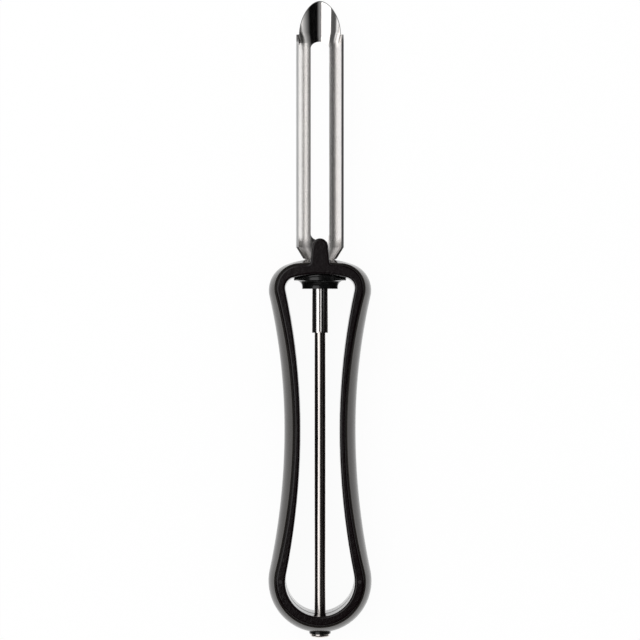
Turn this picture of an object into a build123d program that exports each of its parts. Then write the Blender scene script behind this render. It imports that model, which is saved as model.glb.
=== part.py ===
from build123d import *
import os
from collections import namedtuple
from math import acos, asin, cos, degrees, radians, sin, sqrt, tan

# A straight vegetable peeler with a swivelling blade, in millimetres. It lies on the flat back of
# its handle: +Z points up out of the front face, +Y runs along the blade to its tip, and +X is to
# the right. The origin is under the middle of the whole length.

# Opening of the handle, as half widths from the middle line
opening_length = 88.4
opening_heel_radius = 10.0
opening_waist_half = 5.7
opening_shoulder_half = 10.05
opening_shoulder_radius = 3.1
opening_crown_radius = 30.0
opening_draft = 0.12
waist_rise = 43.5

# Hard frame round the opening
handle_depth = 16.0
frame_bridge = 2.8
frame_shoulder_wall = 2.55
frame_waist_wall = 1.65
frame_heel_wall = 2.7
frame_shoulder_radius = 6.75
frame_crown_radius = 94.6
frame_edge_round = 0.6
opening_edge_round = 0.6
rim_depth = 0.9
seat_depth = 0.4
pin_radius = 0.6
pin_depth = 0.12

# Soft band moulded round the frame
grip_bridge = 1.8
grip_shoulder_bulge = 2.25
grip_waist_bulge = 2.98
grip_heel_bulge = 2.25
grip_heel_drop = 0.36
grip_shoulder_radius = 7.9
grip_crown_radius = 27.5
groove_width = 0.35
lip_width = 0.15
lip_depth = 0.35
moulded_gap = 0.02

# Tongue on the bridge that stops the swivel
tongue_height = 7.45
tongue_depth = 3.0
tongue_tip_radius = 2.3
tongue_taper = 6.5
tongue_fillet = 0.9

# Stamped blade
sheet = 0.7
channel_half = 6.85
channel_depth = 5.2
channel_drop = 0.5
blade_reach = 74.97
spoon_length = 10.15
spoon_half = 6.05
spoon_nose = 2.9
spoon_flank = 5.2
dish_radius = 8.2
dish_length = 9.4
dish_run = 3.0
slot_setback = 11.85
slot_half = 2.7
slot_crown = 2.0
slot_margin = 2.1
bevel_width = 0.6
shoulder_length = 3.2
neck_half = 4.85
roll_half = 3.3
roll_drop = 1.3
roll_spread = 120
shank_radius = 2.37
shank_length = 18.9
seam_gap = 0.12
seam_round = 0.3
notch_half = 0.45
notch_height = 1.0

# Rod and the washer at its end
rod_radius = 1.6
rod_in_shank = 13.0
head_stand = 1.53
head_radius = 2.8
head_rim = 0.35
head_flat_radius = 1.2
washer_radius = 3.1
washer_thickness = 0.65
washer_play = 0.06
end_play = 0.1
spot_radius = 3.25
spot_depth = 0.33

# Bush under the bridge
sleeve_radius = 3.6
sleeve_length = 1.7
shank_seat = 0.3
hub_radius = 5.2
hub_drop = 4.2
cove_radius = 1.85
flange_inset = 0.4
flange_thickness = 0.75
flange_edge_round = 0.3
flange_clearance = 0.02
running_clearance = 0.05
press_clearance = 0.01
mouth_radius = 5.4
throat_radius = 2.9

# One overrun for every cut
overrun = 5.0

# Places along the length, from the rod's head up to the tip
grip_heel_radius = opening_heel_radius + frame_heel_wall + grip_heel_bulge
loop_height = grip_heel_radius + grip_heel_drop + opening_length + frame_bridge + grip_bridge
overall_length = head_stand + loop_height + blade_reach
head_y = -overall_length / 2
loop_bottom_y = head_y + head_stand
spot_y = loop_bottom_y + spot_depth
washer_y = spot_y - washer_thickness
heel_y = loop_bottom_y + grip_heel_radius + grip_heel_drop
waist_y = heel_y + waist_rise
opening_crest_y = heel_y + opening_length
frame_crest_y = opening_crest_y + frame_bridge
grip_crest_y = frame_crest_y + grip_bridge
hub_bottom_y = opening_crest_y - hub_drop
sleeve_top_y = opening_crest_y + sleeve_length
shank_top_y = sleeve_top_y + shank_seat
shank_bottom_y = shank_top_y - shank_length
roll_y = grip_crest_y - roll_drop
flange_end_y = grip_crest_y + shoulder_length
tip_y = grip_crest_y + blade_reach
step_y = tip_y - spoon_length
dish_y = tip_y - dish_length
dish_start_y = dish_y - dish_run
slot_top_y = tip_y - slot_setback
slot_bottom_y = flange_end_y + slot_margin
tongue_z = handle_depth - tongue_depth
pin_x = opening_heel_radius + frame_heel_wall / 2
shaft_z = handle_depth / 2
shaft = Axis((0, 0, shaft_z), (0, 1, 0))

# Outlines of the loop seen from the front
Loop = namedtuple("Loop", "crest crown_radius shoulder_radius shoulder_half waist_half heel_radius")

opening = Loop(
    opening_crest_y,
    opening_crown_radius,
    opening_shoulder_radius,
    opening_shoulder_half,
    opening_waist_half,
    opening_heel_radius,
)
frame = Loop(
    frame_crest_y,
    frame_crown_radius,
    frame_shoulder_radius,
    opening_shoulder_half + frame_shoulder_wall,
    opening_waist_half + frame_waist_wall,
    opening_heel_radius + frame_heel_wall,
)
grip = Loop(
    grip_crest_y,
    grip_crown_radius,
    grip_shoulder_radius,
    frame.shoulder_half + grip_shoulder_bulge,
    frame.waist_half + grip_waist_bulge,
    grip_heel_radius,
)


def inset(loop, distance):
    """The parallel loop that lies inside the given one."""
    return Loop(*(value - distance for value in loop))


def on_round(centre, radius, other):
    """The point of a round that faces another point."""
    return centre + (other - centre).normalized() * radius


def round_arc(centre, start, end):
    """Arc of less than a half turn about the centre."""
    middle = on_round(centre, (start - centre).length, (start + end) * 0.5)
    return ThreePointArc(start, middle, end)


def flank_centre(waist_half, centre, radius):
    """Centre of the hollow flank that is upright at the waist and touches a round."""
    across = waist_half - centre.X
    along = waist_y - centre.Y
    hollow = (across**2 + along**2 - radius**2) / (2 * (radius - across))
    return Vector(waist_half + hollow, waist_y)


def loop_edges(loop, crown_start=None, heel_drop=0):
    """Crown, shoulders, hollow flanks and round heel, as tangent arcs."""
    crown_centre = Vector(0, loop.crest - loop.crown_radius)
    shoulder_x = loop.shoulder_half - loop.shoulder_radius
    reach = loop.crown_radius - loop.shoulder_radius
    shoulder_centre = Vector(shoulder_x, crown_centre.Y + sqrt(reach**2 - shoulder_x**2))
    heel_centre = Vector(0, heel_y - heel_drop)
    upper_centre = flank_centre(loop.waist_half, shoulder_centre, loop.shoulder_radius)
    lower_centre = flank_centre(loop.waist_half, heel_centre, loop.heel_radius)
    crest = crown_start or Vector(0, loop.crest)
    crown_end = on_round(crown_centre, loop.crown_radius, shoulder_centre)
    shoulder_end = on_round(shoulder_centre, loop.shoulder_radius, upper_centre)
    waist = Vector(loop.waist_half, waist_y)
    heel_start = on_round(heel_centre, loop.heel_radius, lower_centre)
    heel_end = heel_centre - Vector(0, loop.heel_radius)
    with BuildLine() as outline:
        round_arc(crown_centre, crest, crown_end)
        round_arc(shoulder_centre, crown_end, shoulder_end)
        round_arc(upper_centre, shoulder_end, waist)
        round_arc(lower_centre, waist, heel_start)
        round_arc(heel_centre, heel_start, heel_end)
        mirror(about=Plane.YZ)
    return outline.edges()


# Right side of the tongue: a tapered flank from its round tip to the fillet on the bridge
taper = tan(radians(tongue_taper))
tip_turn = Vector(cos(radians(tongue_taper)), sin(radians(tongue_taper)))
tongue_round = Vector(0, frame_crest_y + tongue_height - tongue_tip_radius)
flank_top = tongue_round + tip_turn * tongue_tip_radius
flare_x = flank_top.X + (flank_top.Y - frame_crest_y) * taper + tongue_fillet
flare_rise = sqrt(frame_crown_radius**2 - flare_x**2)
flare_end = Vector(flare_x, frame_crest_y - frame_crown_radius + flare_rise)
crown_slope = -flare_x / flare_rise
crown_line_y = flare_end.Y + crown_slope * (flank_top.X + flank_top.Y * taper - flare_x)
corner_y = crown_line_y / (1 + crown_slope * taper)
corner = Vector(flank_top.X + (flank_top.Y - corner_y) * taper, corner_y)
flare_start = corner + (flank_top - corner).normalized() * tongue_fillet


def tongue_edges():
    """The tongue's outline down to where its fillets meet the bridge."""
    with BuildLine() as outline:
        round_arc(tongue_round, tongue_round + Vector(0, tongue_tip_radius), flank_top)
        Line(flank_top, flare_start)
        Bezier(flare_start, corner, flare_end)
        mirror(about=Plane.YZ)
    return outline.edges()


def tongue_root_edges():
    """Closes the tongue's outline inside the bridge."""
    with BuildLine() as outline:
        Line(flare_end, (flare_x, frame_crest_y - frame_bridge / 2))
        Line((flare_x, frame_crest_y - frame_bridge / 2), (0, frame_crest_y - frame_bridge / 2))
        mirror(about=Plane.YZ)
    return outline.edges()


def shaft_holes():
    """Half sections of the holes in the bridge and the heel, to be revolved about the shaft."""
    with BuildSketch(Plane.XY.offset(shaft_z)) as holes:
        with BuildLine():
            Polyline(
                (0, opening_crest_y - overrun),
                (sleeve_radius + press_clearance, opening_crest_y - overrun),
                (sleeve_radius + press_clearance, sleeve_top_y),
                (throat_radius, sleeve_top_y),
                (mouth_radius, grip_crest_y),
                (mouth_radius, grip_crest_y + overrun),
                (0, grip_crest_y + overrun),
                close=True,
            )
        make_face()
        with BuildLine():
            Polyline(
                (0, heel_y),
                (rod_radius + washer_play, heel_y),
                (rod_radius + washer_play, spot_y),
                (spot_radius, spot_y),
                (spot_radius, loop_bottom_y - overrun),
                (0, loop_bottom_y - overrun),
                close=True,
            )
        make_face()
    return holes.sketch


# Handle frame: a web with a rim on its front and back, and the tongue
with BuildPart() as handle_frame:
    with BuildSketch():
        make_face(loop_edges(frame))
    extrude(amount=rim_depth)
    with BuildSketch(Plane.XY.offset(rim_depth)):
        make_face(loop_edges(inset(frame, seat_depth)))
    extrude(amount=handle_depth - 2 * rim_depth)
    with BuildSketch(Plane.XY.offset(handle_depth - rim_depth)):
        make_face(loop_edges(frame, flare_end) + tongue_edges())
    extrude(amount=rim_depth)
    with BuildSketch(Plane.XY.offset(tongue_z)):
        make_face(tongue_edges() + tongue_root_edges())
    extrude(amount=tongue_depth - rim_depth)
    for face_z in (0, handle_depth):
        with BuildSketch(Plane.XY.offset(face_z)):
            make_face(loop_edges(opening))
        with BuildSketch(Plane.XY.offset(shaft_z)):
            make_face(loop_edges(inset(opening, opening_draft)))
        loft(ruled=True, mode=Mode.SUBTRACT)
    revolve(shaft_holes(), axis=shaft, mode=Mode.SUBTRACT)
    for side in (0, -1):
        rim_face = faces().filter_by(Plane.XY).sort_by(Axis.Z)[side]
        fillet(rim_face.outer_wire().edges(), frame_edge_round)
        rim_face = faces().filter_by(Plane.XY).sort_by(Axis.Z)[side]
        fillet(rim_face.inner_wires()[0].edges(), opening_edge_round)
    with BuildSketch(Plane.XY.offset(handle_depth)):
        with Locations((-pin_x, heel_y), (pin_x, heel_y)):
            Circle(pin_radius)
    extrude(amount=-pin_depth, mode=Mode.SUBTRACT)

# Grip band: bulges most at the middle of the depth, and a groove parts it from the frame's rims
with BuildPart() as grip_band:
    lip = inset(frame, -groove_width - lip_width)
    for height, loop, heel_drop in (
        (lip_depth, lip, 0),
        (shaft_z, grip, grip_heel_drop),
        (handle_depth - lip_depth, lip, 0),
    ):
        with BuildSketch(Plane.XY.offset(height)):
            make_face(loop_edges(loop, heel_drop=heel_drop))
    loft()
    for face_z, inward in ((0, 1), (handle_depth, -1)):
        with BuildSketch(Plane.XY.offset(face_z)):
            make_face(loop_edges(inset(frame, -groove_width)))
        extrude(amount=inward * (rim_depth + moulded_gap), mode=Mode.SUBTRACT)
    with BuildSketch():
        make_face(loop_edges(inset(frame, seat_depth - moulded_gap)))
    extrude(amount=handle_depth, mode=Mode.SUBTRACT)
    with BuildSketch(Plane.XY.offset(tongue_z - moulded_gap)):
        make_face(tongue_edges() + tongue_root_edges())
    extrude(amount=tongue_depth, mode=Mode.SUBTRACT)
    revolve(shaft_holes(), axis=shaft, mode=Mode.SUBTRACT)

# Bush: arched flange against the bridge, coved hub below it and a sleeve inside the bridge
with BuildPart() as swivel_bush:
    crown_centre = Vector(0, opening_crest_y - opening_crown_radius)
    flange_radius = shaft_z - flange_inset
    flange_crown_radius = opening_crown_radius - opening_draft - flange_clearance
    arch_radius = flange_crown_radius - flange_thickness
    cove_end = hub_radius + cove_radius
    cove_top_y = crown_centre.Y + sqrt(arch_radius**2 - cove_end**2)
    with BuildSketch(Plane.XY):
        with Locations(crown_centre):
            Circle(flange_crown_radius)
            Circle(arch_radius, mode=Mode.SUBTRACT)
        with Locations((0, opening_crest_y)):
            Rectangle(4 * flange_radius, 2 * flange_radius, mode=Mode.INTERSECT)
    extrude(amount=handle_depth)
    with BuildSketch(Plane.XZ.offset(-opening_crest_y)):
        with Locations((0, shaft_z)):
            Circle(flange_radius)
    extrude(amount=flange_radius, both=True, mode=Mode.INTERSECT)
    fillet(faces().sort_by(Axis.Y)[0].outer_wire().edges(), flange_edge_round)
    with BuildSketch(Plane.XY.offset(shaft_z)):
        with BuildLine():
            Line((0, hub_bottom_y), (hub_radius, hub_bottom_y))
            Line((hub_radius, hub_bottom_y), (hub_radius, cove_top_y - cove_radius))
            RadiusArc((hub_radius, cove_top_y - cove_radius), (cove_end, cove_top_y), cove_radius)
            Line((cove_end, cove_top_y), (cove_end, opening_crest_y))
            Line((cove_end, opening_crest_y), (0, opening_crest_y))
            Line((0, opening_crest_y), (0, hub_bottom_y))
        make_face()
    revolve(axis=shaft)
    with BuildSketch():
        with Locations(crown_centre):
            Circle(flange_crown_radius)
    extrude(amount=handle_depth, mode=Mode.INTERSECT)
    with BuildSketch(Plane.XZ.offset(-sleeve_top_y)):
        with Locations((0, shaft_z)):
            Circle(sleeve_radius)
    extrude(amount=2 * sleeve_length)
    with BuildSketch(Plane.XZ.offset(-hub_bottom_y)):
        with Locations((0, shaft_z)):
            Circle(shank_radius + running_clearance)
    extrude(amount=-2 * hub_drop, mode=Mode.SUBTRACT)

# The sheet's bend across the blade
channel_radius = (channel_half**2 + channel_depth**2) / (2 * channel_depth)
channel_spread = degrees(acos(1 - channel_depth / channel_radius))
dish_spread = degrees(asin(channel_half / dish_radius))
neck_radius = neck_half / sin(radians(channel_spread))
seam_spread = 180 - degrees(seam_gap / (2 * shank_radius))


def spoke(spread):
    """Direction that is turned by the spread from straight down."""
    return Vector(sin(radians(spread)), -cos(radians(spread)))


def bend_edges(radius, spread, drop):
    """Section of the bent sheet, open to the front, its lowest line below the shank's by the drop."""
    centre = Vector(0, shaft_z - shank_radius - drop + radius)
    rim = spoke(spread)
    middle = spoke(spread / 2)
    lowest = spoke(0)
    inner = radius - sheet
    with BuildLine() as bend:
        ThreePointArc(centre + lowest * radius, centre + middle * radius, centre + rim * radius)
        Line(centre + rim * radius, centre + rim * inner)
        ThreePointArc(centre + rim * inner, centre + middle * inner, centre + lowest * inner)
        mirror(about=Plane.YZ)
    return bend.edges()


def shank_edges():
    """Section of the rolled shank, with the outer corners of its seam rounded."""
    centre = Vector(0, shaft_z)
    rim = spoke(seam_spread)
    middle = spoke(seam_spread / 2)
    lowest = spoke(0)
    bore_radius = shank_radius - sheet
    lip_reach = shank_radius - seam_round
    lip_centre = centre + spoke(seam_spread - degrees(asin(seam_round / lip_reach))) * lip_reach
    lip_start = on_round(centre, shank_radius, lip_centre)
    lip_end = centre + rim * sqrt(lip_reach**2 - seam_round**2)
    with BuildLine() as section:
        ThreePointArc(centre + lowest * shank_radius, centre + middle * shank_radius, lip_start)
        round_arc(lip_centre, lip_start, lip_end)
        Line(lip_end, centre + rim * bore_radius)
        ThreePointArc(
            centre + rim * bore_radius, centre + middle * bore_radius, centre + lowest * bore_radius
        )
        mirror(about=Plane.YZ)
    return section.edges()


def slot_edges(widening):
    """The long slot with low arched ends."""
    half = slot_half + widening
    crown = slot_crown + widening
    with BuildLine() as slot:
        EllipticalCenterArc((0, slot_top_y - slot_crown), half, crown, start_angle=0, arc_size=180)
        Line((-half, slot_top_y - slot_crown), (-half, slot_bottom_y + slot_crown))
        EllipticalCenterArc((0, slot_bottom_y + slot_crown), half, crown, start_angle=180, arc_size=180)
        Line((half, slot_bottom_y + slot_crown), (half, slot_top_y - slot_crown))
    return slot.edges()


# Blade: channel and flatter spoon, the slot with its bevel, the rolled shoulders and the shank
with BuildPart() as blade:
    for place_y, radius, spread in (
        (flange_end_y, channel_radius, channel_spread),
        (dish_start_y, channel_radius, channel_spread),
        (dish_y, dish_radius, dish_spread),
        (tip_y, dish_radius, dish_spread),
    ):
        with BuildSketch(Plane.XZ.offset(-place_y)):
            make_face(bend_edges(radius, spread, channel_drop))
    loft(ruled=True)
    with BuildSketch(Plane.XY):
        with BuildLine():
            Bezier(
                (0, tip_y),
                (spoon_nose, tip_y),
                (spoon_half, step_y + spoon_flank),
                (spoon_half, step_y),
            )
            Line((spoon_half, step_y), (2 * channel_half, step_y))
            Line((2 * channel_half, step_y), (2 * channel_half, flange_end_y))
            Line((2 * channel_half, flange_end_y), (0, flange_end_y))
            mirror(about=Plane.YZ)
        make_face()
    extrude(amount=handle_depth, mode=Mode.INTERSECT)
    with BuildSketch(Plane.XY):
        make_face(slot_edges(0))
    extrude(amount=handle_depth, mode=Mode.SUBTRACT)
    bevel_top_z = shaft_z - shank_radius - channel_drop + sheet
    with BuildSketch(Plane.XY.offset(bevel_top_z - sheet)):
        make_face(slot_edges(bevel_width))
    with BuildSketch(Plane.XY.offset(bevel_top_z)):
        make_face(slot_edges(0))
    loft(ruled=True, mode=Mode.SUBTRACT)
    for place_y, radius, spread, drop in (
        (flange_end_y, channel_radius, channel_spread, channel_drop),
        (grip_crest_y, neck_radius, channel_spread, channel_drop / 2),
        (roll_y, roll_half, roll_spread, 0),
        (shank_top_y, shank_radius, seam_spread, 0),
    ):
        with BuildSketch(Plane.XZ.offset(-place_y)):
            make_face(bend_edges(radius, spread, drop))
    loft(ruled=True)
    with BuildSketch(Plane.XZ.offset(-shank_top_y)):
        make_face(shank_edges())
    extrude(amount=shank_length)
    with BuildSketch(Plane.XY.offset(shaft_z)):
        with BuildLine():
            Polyline(
                (-notch_half, shank_bottom_y),
                (notch_half, shank_bottom_y),
                (0, shank_bottom_y + notch_height),
                close=True,
            )
        make_face()
    extrude(amount=shaft_z, mode=Mode.SUBTRACT)

# Rod with its peened head
with BuildPart() as rod:
    head_top_y = washer_y - end_play
    with BuildSketch(Plane.XY.offset(shaft_z)):
        with BuildLine():
            Line((0, shank_bottom_y + rod_in_shank), (rod_radius, shank_bottom_y + rod_in_shank))
            Line((rod_radius, shank_bottom_y + rod_in_shank), (rod_radius, head_top_y))
            Line((rod_radius, head_top_y), (head_radius, head_top_y))
            Line((head_radius, head_top_y), (head_radius, head_top_y - head_rim))
            Bezier(
                (head_radius, head_top_y - head_rim),
                (head_radius, head_y),
                (head_flat_radius, head_y),
                (0, head_y),
            )
            Line((0, head_y), (0, shank_bottom_y + rod_in_shank))
        make_face()
    revolve(axis=shaft)

# Washer between the loop's heel and the rod's head
with BuildPart() as end_washer:
    with BuildSketch(Plane.XZ.offset(-washer_y)):
        with Locations((0, shaft_z)):
            Circle(washer_radius)
            Circle(rod_radius + washer_play, mode=Mode.SUBTRACT)
    extrude(amount=-washer_thickness)

handle_frame.part.label = "handle_frame"
grip_band.part.label = "grip_band"
swivel_bush.part.label = "swivel_bush"
blade.part.label = "blade"
rod.part.label = "rod"
end_washer.part.label = "end_washer"

os.makedirs("parts", exist_ok=True)
for piece in (handle_frame, grip_band, swivel_bush, blade, rod, end_washer):
    export_step(piece.part, f"parts/{piece.part.label}.step")
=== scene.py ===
# %% [markdown]
# # A swivel peeler on white
#
# The peeler has six pieces: a hard black frame, a soft band moulded round it, a bush, a stamped
# blade, the rod that the blade turns with, and a washer. Their shapes and sizes are fixed by the
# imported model, so this lesson is about how they look. First comes the model, then the camera and
# the studio, then one finish for each piece.

from math import pi, radians

import bpy
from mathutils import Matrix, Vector


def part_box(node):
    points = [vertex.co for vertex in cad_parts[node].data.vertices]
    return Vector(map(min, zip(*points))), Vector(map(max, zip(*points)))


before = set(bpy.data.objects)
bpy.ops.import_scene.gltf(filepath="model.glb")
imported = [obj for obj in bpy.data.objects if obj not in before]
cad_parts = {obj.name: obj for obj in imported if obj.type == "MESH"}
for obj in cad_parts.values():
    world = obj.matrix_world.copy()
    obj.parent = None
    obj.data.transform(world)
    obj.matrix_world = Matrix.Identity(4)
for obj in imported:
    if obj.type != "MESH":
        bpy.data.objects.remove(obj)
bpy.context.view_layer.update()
bpy.ops.object.select_all(action="DESELECT")

# %% [markdown]
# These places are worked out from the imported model: the shaft's height from the rod, the
# handle's front face from the frame, and the blade's end from the blade. Metres are awkward for a
# small tool, so one value stands for a millimetre.

# %% Places that the finishes and the studio use
mm = 0.001
rod_lo, rod_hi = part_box("rod")
shaft_z = (rod_lo.z + rod_hi.z) / 2
face_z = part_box("handle_frame")[1].z
tip_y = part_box("blade")[1].y
print("shaft", round(shaft_z / mm, 2), "mm above the floor, front face at", round(face_z / mm, 2))

# %% [markdown]
# The photograph looks straight down on the peeler with a long lens. The camera stands on the
# middle of the tool, high above the shaft, and its lens makes 185.6 mm at the shaft fill the
# picture. A camera that isn't turned looks down -Z with +Y up, which is just this view.

# %% Camera
camera_height = 725 * mm
camera_y = -0.38 * mm
picture_width = 185.6 * mm
sensor_width = 36

bpy.ops.object.camera_add(location=(0, camera_y, shaft_z + camera_height), rotation=(0, 0, 0))
camera = bpy.context.object
camera.data.sensor_width = sensor_width
camera.data.lens = sensor_width * camera_height / picture_width
bpy.context.scene.camera = camera
bpy.context.scene.view_settings.view_transform = "Standard"
print("lens", round(camera.data.lens, 1), "mm")

# %% [markdown]
# Finishes are made of nodes. Written as sums, as in roughness = 0.4 + 0.1 * grain, they can be
# read, so this small class lets a shader value take part in Python sums: each operator adds the
# Math node that does it, also where the shader value comes second, as in 1 - mask.

# %% A shader value that takes part in sums
class Wire:
    """One output socket of a node tree."""

    def __init__(self, board, socket):
        self.board = board
        self.socket = socket

    def math(self, operation, *others):
        """A Math node whose first value is this wire."""
        values = dict(enumerate((self, *others)))
        return self.board.node("ShaderNodeMath", {"operation": operation}, values)

    def __add__(self, other):
        return self.math("ADD", other)

    def __radd__(self, other):
        return self.math("ADD", other)

    def __sub__(self, other):
        return self.math("SUBTRACT", other)

    def __rsub__(self, other):
        return self.math("MULTIPLY_ADD", -1, other)

    def __mul__(self, other):
        return self.math("MULTIPLY", other)

    def __rmul__(self, other):
        return self.math("MULTIPLY", other)

    def __abs__(self):
        return self.math("ABSOLUTE")


# %% [markdown]
# Every node comes from one method. It sets the node's own settings first, because some of them
# change which sockets there are, and then fills its sockets with values or with other wires.

# %% A board that nodes are put on
class Board:
    """A node tree of a material or of the world, with short ways to fill it."""

    def __init__(self, tree):
        self.tree = tree

    def node(self, kind, settings=None, sockets=None, output=0):
        """Adds a node with its settings, then its socket values or links, and gives one output."""
        made = self.tree.nodes.new(kind)
        for name, value in (settings or {}).items():
            if name == "stops":
                # A new ramp has two stops already, so only the rest are added.
                ramp = made.color_ramp
                for place, _ in value[2:]:
                    ramp.elements.new(place)
                for stop, (place, level) in zip(ramp.elements, value):
                    stop.position = place
                    stop.color = (level, level, level, 1)
            else:
                setattr(made, name, value)
        for name, value in (sockets or {}).items():
            self.fill(made.inputs[name], value)
        return Wire(self, made.outputs[output])

    def fill(self, socket, value):
        """Links a wire to the socket, or sets its value."""
        if isinstance(value, Wire):
            self.tree.links.new(value.socket, socket)
        else:
            socket.default_value = value

    def step(self, value, start, end, low=0.0, high=1.0):
        """A smooth step: low up to start, high from end on."""
        return self.node(
            "ShaderNodeMapRange",
            {"interpolation_type": "SMOOTHSTEP"},
            {"Value": value, "From Min": start, "From Max": end, "To Min": low, "To Max": high},
        )

    def between(self, mask, first, second):
        """The first colour where the mask is 0, the second where it is 1."""
        return self.node("ShaderNodeMix", {"data_type": "RGBA"}, {0: mask, 6: first, 7: second}, 2)

    def axes(self, vector):
        """The three parts of a vector."""
        apart = self.node("ShaderNodeSeparateXYZ", {}, {0: vector}).socket.node
        return [Wire(self, socket) for socket in apart.outputs]

    def stretched(self, vector, scale):
        """A vector with each part multiplied by its own scale."""
        return self.node("ShaderNodeVectorMath", {"operation": "MULTIPLY"}, {0: vector, 1: scale})

    def noise(self, vector, scale, detail):
        """Soft random spots, about one to each 1 / scale metres."""
        return self.node("ShaderNodeTexNoise", {}, {"Vector": vector, "Scale": scale, "Detail": detail})


class Finish(Board):
    """A material: its even values are set on the shader, and its varying ones are linked."""

    def __init__(self, name, **even):
        self.material = bpy.data.materials.new(name)
        self.material.use_nodes = True
        super().__init__(self.material.node_tree)
        self.shader = self.tree.nodes["Principled BSDF"]
        # Output 3 is Object, which is the place in metres, because each object is at the origin.
        self.place = self.node("ShaderNodeTexCoord", {}, {}, 3)
        self.set(**even)

    def set(self, **values):
        """Fills the shader's sockets, where base_color is the socket Base Color."""
        for name, value in values.items():
            self.fill(self.shader.inputs[name.replace("_", " ").title().replace("Ior", "IOR")], value)

    def bump(self, height, depth, strength):
        """Raises the surface by height times depth, in metres."""
        raised = self.node(
            "ShaderNodeBump", {}, {"Strength": strength, "Distance": depth, "Height": height}
        )
        self.set(normal=raised)


print("helpers ready")

# %% [markdown]
# The studio is a white floor under a white world. What the camera sees of the floor is mostly a
# plain white glow, and for a small part a real matt surface, so that it keeps a faint shadow.
# Polished steel looks like what is round it, and the shaded floor close under the peeler would
# make it grey. So the floor is hidden from glossy rays: they go on to the world, which is bright
# down there too.

# %% Floor
floor_drop = 0.2 * mm
floor_size = 4.0
glow_share = 0.95

bpy.ops.mesh.primitive_plane_add(size=floor_size, location=(0, 0, -floor_drop))
floor = bpy.context.object
floor.name = "floor"
bpy.ops.object.transform_apply(location=True)
bpy.ops.object.select_all(action="DESELECT")

floor_finish = Finish("white_floor", base_color=(0.93, 0.93, 0.93, 1), roughness=0.9)
rays = floor_finish.node("ShaderNodeLightPath").socket.node
camera_ray = Wire(floor_finish, rays.outputs["Is Camera Ray"])
glow = floor_finish.node("ShaderNodeEmission", {}, {"Color": (1, 1, 1, 1), "Strength": 1.0})
matt = Wire(floor_finish, floor_finish.shader.outputs[0])
seen = floor_finish.node("ShaderNodeMixShader", {}, {0: glow_share * camera_ray, 1: matt, 2: glow})
floor_finish.fill(floor_finish.tree.nodes["Material Output"].inputs["Surface"], seen)
floor.data.materials.append(floor_finish.material)
floor.visible_glossy = False
print("floor", floor.dimensions[:])

# %% [markdown]
# The world lights everything evenly, and the camera sees it as plain white. Gloss needs more: a
# bright tool photographed against plain white looks flat, so a studio hangs dark cards beside the
# camera, and the metal shows them as black bands that run along its length. Here the cards are
# bands of the world, seen by glossy rays alone. They are stated as the angle from straight up,
# negative to the left.
#
# One more card, nearly black, is a strip across the view that starts 5 degrees past straight up
# on the heel's side. It is why the loop's lower end looks blacker than its upper end. The strip
# stops at about 40 degrees, because seen from the tip the steel would show nothing but black.
# Each of its borders fades between two values of the direction.

# %% World
day_level = 0.8
card_stops = [
    (-180, 1.0),
    (-80, 1.0),
    (-74, 0.08),
    (-54, 0.08),
    (-48, 0.24),
    (2, 0.24),
    (12, 0.0),
    (46, 0.0),
    (62, 0.2),
    (78, 0.5),
    (92, 1.05),
    (180, 1.05),
]
end_level = 0.02
strip_start = (-0.1, -0.085)
strip_end = (-0.7, -0.6)
strip_foot = (-0.55, -0.4)

world = bpy.data.worlds.new("studio")
world.use_nodes = True
bpy.context.scene.world = world
sky = Board(world.node_tree)
# Output 0 is Generated, which in a world is the way that the ray goes.
direction = sky.node("ShaderNodeTexCoord")
across, along, upward = sky.axes(direction)
turn = across.math("ARCTAN2", upward)
cards = sky.node(
    "ShaderNodeValToRGB",
    {"stops": [(0.5 + angle / 360, level) for angle, level in card_stops]},
    {"Fac": 0.5 + turn * (0.5 / pi)},
)
strip = sky.step(along, *strip_start, 1, 0) * sky.step(along, *strip_end)
strip = strip * sky.step(upward, *strip_foot)
hung = sky.between(strip, cards, (end_level, end_level, end_level, 1))
rays = sky.node("ShaderNodeLightPath").socket.node
camera_ray = Wire(sky, rays.outputs["Is Camera Ray"])
glossy_ray = Wire(sky, rays.outputs["Is Glossy Ray"])
even = sky.between(camera_ray, (day_level, day_level, day_level, 1), (1, 1, 1, 1))
shown = sky.between(glossy_ray, even, hung)
sky.fill(world.node_tree.nodes["Background"].inputs["Color"], shown)
print("world made")

# %% [markdown]
# One long soft box hangs to the left of the camera and reaches out beyond the blade. On the rod
# and the shank it shows as the white streak left of the middle, and it lights the channel's floor.
# Its energy is its level times pi and its area, so the level is the brightness of its face.

# %% Soft box
box_angle = radians(-27)
box_distance = 0.9
box_width = 0.68
box_length = 1.2
box_level = 1.25
box_shift = 320 * mm

bpy.ops.object.light_add(type="AREA", location=(0, 0, 0))
soft_box = bpy.context.object
soft_box.name = "soft_box"
soft_box.data.shape = "RECTANGLE"
soft_box.data.size = box_width
soft_box.data.size_y = box_length
soft_box.data.energy = box_level * pi * box_width * box_length
soft_box.rotation_euler = (0, box_angle, 0)
bpy.context.view_layer.update()
soft_box.location = soft_box.matrix_world.to_3x3() @ Vector((0, box_shift, box_distance))
print("soft box at", [round(v, 2) for v in soft_box.location])
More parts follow.
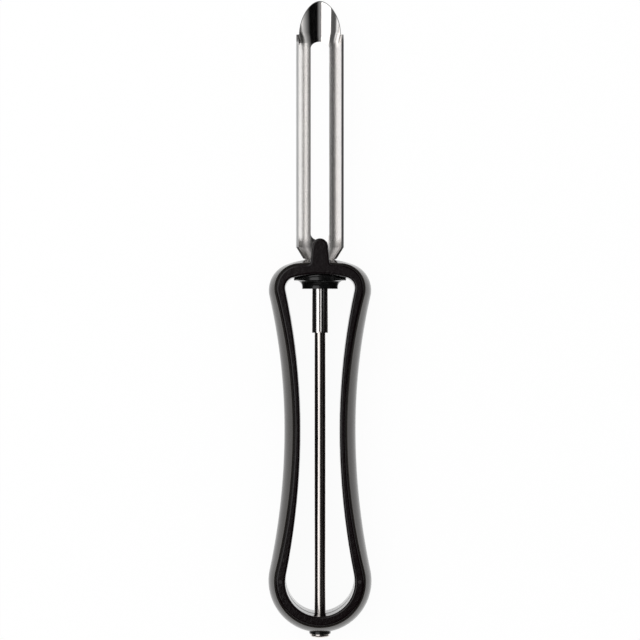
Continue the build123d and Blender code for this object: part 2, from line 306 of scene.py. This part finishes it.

# %% [markdown]
# The frame is hard black plastic with the half gloss of a plain steel mould. Its faces look flat,
# but their reflections waver a little, which noise of about a millimetre gives as a bump. A finer
# grain makes the front and back faces duller than the walls, and a step on the height tells the
# faces from the walls.
#
# Two more traces of the mould show in the photograph. Its ejector pins left two small discs at
# the widest part of the loop. The model has them sunk a little, and here they are made duller and
# painted greyer: the grey is a painted highlight, the glint that the discs catch. Each is a
# distance from a point, and because the frame is symmetric, one distance to the absolute place
# finds both. Where the halves of the mould met, a small ledge runs round the walls of the opening.
# It is too small to model, so it is a smooth step on the height that only tilts the surface, and
# it shows as a thin grey line at the heel.

# %% Hard black plastic
half_depth = face_z - shaft_z
grain_fade = (half_depth - 0.35 * mm, half_depth - 0.1 * mm)
pin_radius = 0.6 * mm
pin_edge = 0.1 * mm
pin_place = (11.35 * mm, 75.565 * mm, face_z)
ledge_z = shaft_z + 1.5 * mm
ledge_half = 1.2 * mm
wave_depth = 0.05 * mm


def hard_plastic():
    finish = Finish("hard_plastic", ior=1.5, specular_ior_level=0.38)
    height = finish.axes(finish.place)[2]
    on_face = finish.step(abs(height - shaft_z), *grain_fade)
    wave = finish.noise(finish.place, 900, 3)
    grain = finish.noise(finish.place, 5000, 2)
    cloud = finish.noise(finish.place, 300, 2)
    folded = finish.node("ShaderNodeVectorMath", {"operation": "ABSOLUTE"}, {0: finish.place})
    from_pin = finish.node(
        "ShaderNodeVectorMath", {"operation": "DISTANCE"}, {0: folded, 1: pin_place}, 1
    )
    # The pin discs are made rougher, and their grey colour is a painted highlight, the glint they
    # catch.
    pin_and_painted_glint = finish.step(from_pin, pin_radius - pin_edge, pin_radius, 1, 0)
    ledge = finish.step(height, ledge_z - ledge_half, ledge_z + ledge_half, 1, 0)
    black = finish.between(cloud, (0.002, 0.0008, 0.0011, 1), (0.004, 0.0016, 0.0022, 1))
    finish.set(
        # The discs' grey base colour is a painted highlight.
        base_color=finish.between(pin_and_painted_glint, black, (0.018, 0.014, 0.015, 1)),
        roughness=0.1 + on_face * 0.08 * grain + 0.3 * pin_and_painted_glint,
    )
    finish.bump(wave + 0.3 * grain + 6 * ledge, wave_depth, 1.0)
    return finish.material


# %% [markdown]
# The band is a softer plastic, moulded over the frame in a second shot, with a satin skin. Head
# on it is nearly black, with a trace of brown, and where it curves away it picks up the white of
# the room. That is Fresnel reflection, which the shader already has, so the finish needs only a
# fairly low roughness and a little skin texture.

# %% Soft satin band
skin_depth = 0.01 * mm


def soft_band():
    finish = Finish("soft_band", ior=1.46)
    skin = finish.noise(finish.place, 2600, 3)
    cloud = finish.noise(finish.place, 120, 2)
    finish.set(
        base_color=finish.between(cloud, (0.015, 0.0115, 0.009, 1), (0.022, 0.0175, 0.0145, 1)),
        roughness=0.12 + 0.1 * skin,
    )
    finish.bump(skin, skin_depth, 0.5)
    return finish.material


# %% [markdown]
# The bush is a slippery plastic, moulded smooth so that the blade turns in it: black and glossy.
# The washer under the rod's head looks the same, so each of the two gets this finish.

# %% Glossy black plastic
gloss_depth = 0.01 * mm


def glossy_plastic():
    finish = Finish("glossy_plastic", base_color=(0.004, 0.004, 0.004, 1), ior=1.5)
    wave = finish.noise(finish.place, 700, 2)
    finish.set(roughness=0.14 + 0.08 * wave)
    finish.bump(wave, gloss_depth, 0.3)
    return finish.material


# %% [markdown]
# The blade is stamped from stainless strip. Its long flanks keep the drawn grain of the strip,
# which is noise stretched along Y, so that it shows as fine streaks. The spoon tip and the rolled
# shank are polished, so the grain fades out there, and the bottom of the spoon is the smoothest:
# it shows the darkest card as a black band. The neck, beside the frame's black tongue, is rougher
# and painted darker: the darker colour is a painted reflection of the tongue. The flanks' top
# edges, where the strip was sheared, are greyer and rougher: two steps find them, one on the
# distance from the middle and one on the height.
#
# The rim of the spoon is ground, and it shows as a thin dark line round the nose. The spoon's
# outline is nearly an ellipse with a power of 1.84 in place of 2, so one sum of two powers tells
# how near a point is to it, and a step on that sum draws the line.

# %% Blade steel
neck_start = (14 * mm, 16 * mm)
neck_end = (20.5 * mm, 23.5 * mm)
polish_start = (tip_y - 14 * mm, tip_y - 11 * mm)
mirror_side = (3.2 * mm, 4.6 * mm)
cut_side = (6.16 * mm, 6.22 * mm)
cut_height = (10.2 * mm, 10.3 * mm)
spoon_half = 6.05 * mm
spoon_length = 10.15 * mm
spoon_start = (tip_y - spoon_length, tip_y - spoon_length + 0.1 * mm)
nose_power = 1.84
rim_start = (0.945, 0.965)
# Streaks to a metre across, along and through: each is 0.2 mm wide and about 17 mm long.
strip_streaks = (5000, 60, 5000)
streak_depth = 0.004 * mm


def blade_steel():
    finish = Finish("blade_steel", metallic=1.0)
    across, along, height = finish.axes(finish.place)
    # The neck beside the black tongue: rougher, and painted darker as a painted reflection of the
    # tongue.
    neck_painted_reflection = finish.step(along, *neck_start) * finish.step(along, *neck_end, 1, 0)
    drawn = finish.step(along, *neck_end) * finish.step(along, *polish_start, 1, 0)
    cut = finish.step(abs(across), *cut_side) * finish.step(height, *cut_height)
    aside = (abs(across) * (1 / spoon_half)).math("POWER", nose_power)
    ahead = ((along - spoon_start[0]) * (1 / spoon_length)).math("MAXIMUM", 0.0)
    nearness = aside + ahead.math("POWER", nose_power)
    rim = finish.step(nearness, *rim_start) * finish.step(along, *spoon_start)
    streak = finish.noise(finish.stretched(finish.place, strip_streaks), 1.0, 3)
    cloud = finish.noise(finish.place, 160, 2)
    steel = finish.between(cloud, (0.87, 0.85, 0.835, 1), (0.95, 0.93, 0.915, 1))
    mirror = finish.step(along, *polish_start) * finish.step(abs(across), *mirror_side, 1, 0)
    polish = 0.13 + 0.06 * streak - 0.07 * mirror
    # The darker steel here is a painted reflection of the black tongue.
    steel_and_painted_reflection = finish.between(neck_painted_reflection, steel, (0.67, 0.655, 0.645, 1))
    sheared = finish.between(cut, steel_and_painted_reflection, (0.45, 0.45, 0.45, 1))
    finish.set(
        base_color=finish.between(rim, sheared, (0.2, 0.2, 0.2, 1)),
        roughness=polish + drawn * (0.06 + 0.07 * streak) + 0.2 * cut + 0.3 * rim + 0.18 * neck_painted_reflection,
    )
    finish.bump(streak * (0.2 + drawn), streak_depth, 0.4)
    return finish.material


# %% [markdown]
# The rod is bright drawn wire, a little darker and warmer than the blade, with finer and longer
# streaks.

# %% Rod steel
wire_streaks = (6000, 30, 6000)


def rod_steel():
    finish = Finish("rod_steel", metallic=1.0)
    streak = finish.noise(finish.stretched(finish.place, wire_streaks), 1.0, 2)
    finish.set(
        base_color=finish.between(streak, (0.68, 0.635, 0.605, 1), (0.82, 0.765, 0.73, 1)),
        roughness=0.13 + 0.08 * streak,
    )
    return finish.material


# %% [markdown]
# Each node's own material is swapped for its finish. The meshes stay as packed.

# %% Put the finishes on
finishes = {
    "handle_frame": hard_plastic(),
    "grip_band": soft_band(),
    "swivel_bush": glossy_plastic(),
    "blade": blade_steel(),
    "rod": rod_steel(),
    "end_washer": glossy_plastic(),
}
for node, material in finishes.items():
    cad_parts[node].data.materials.clear()
    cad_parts[node].data.materials.append(material)
    print(node, material.name)
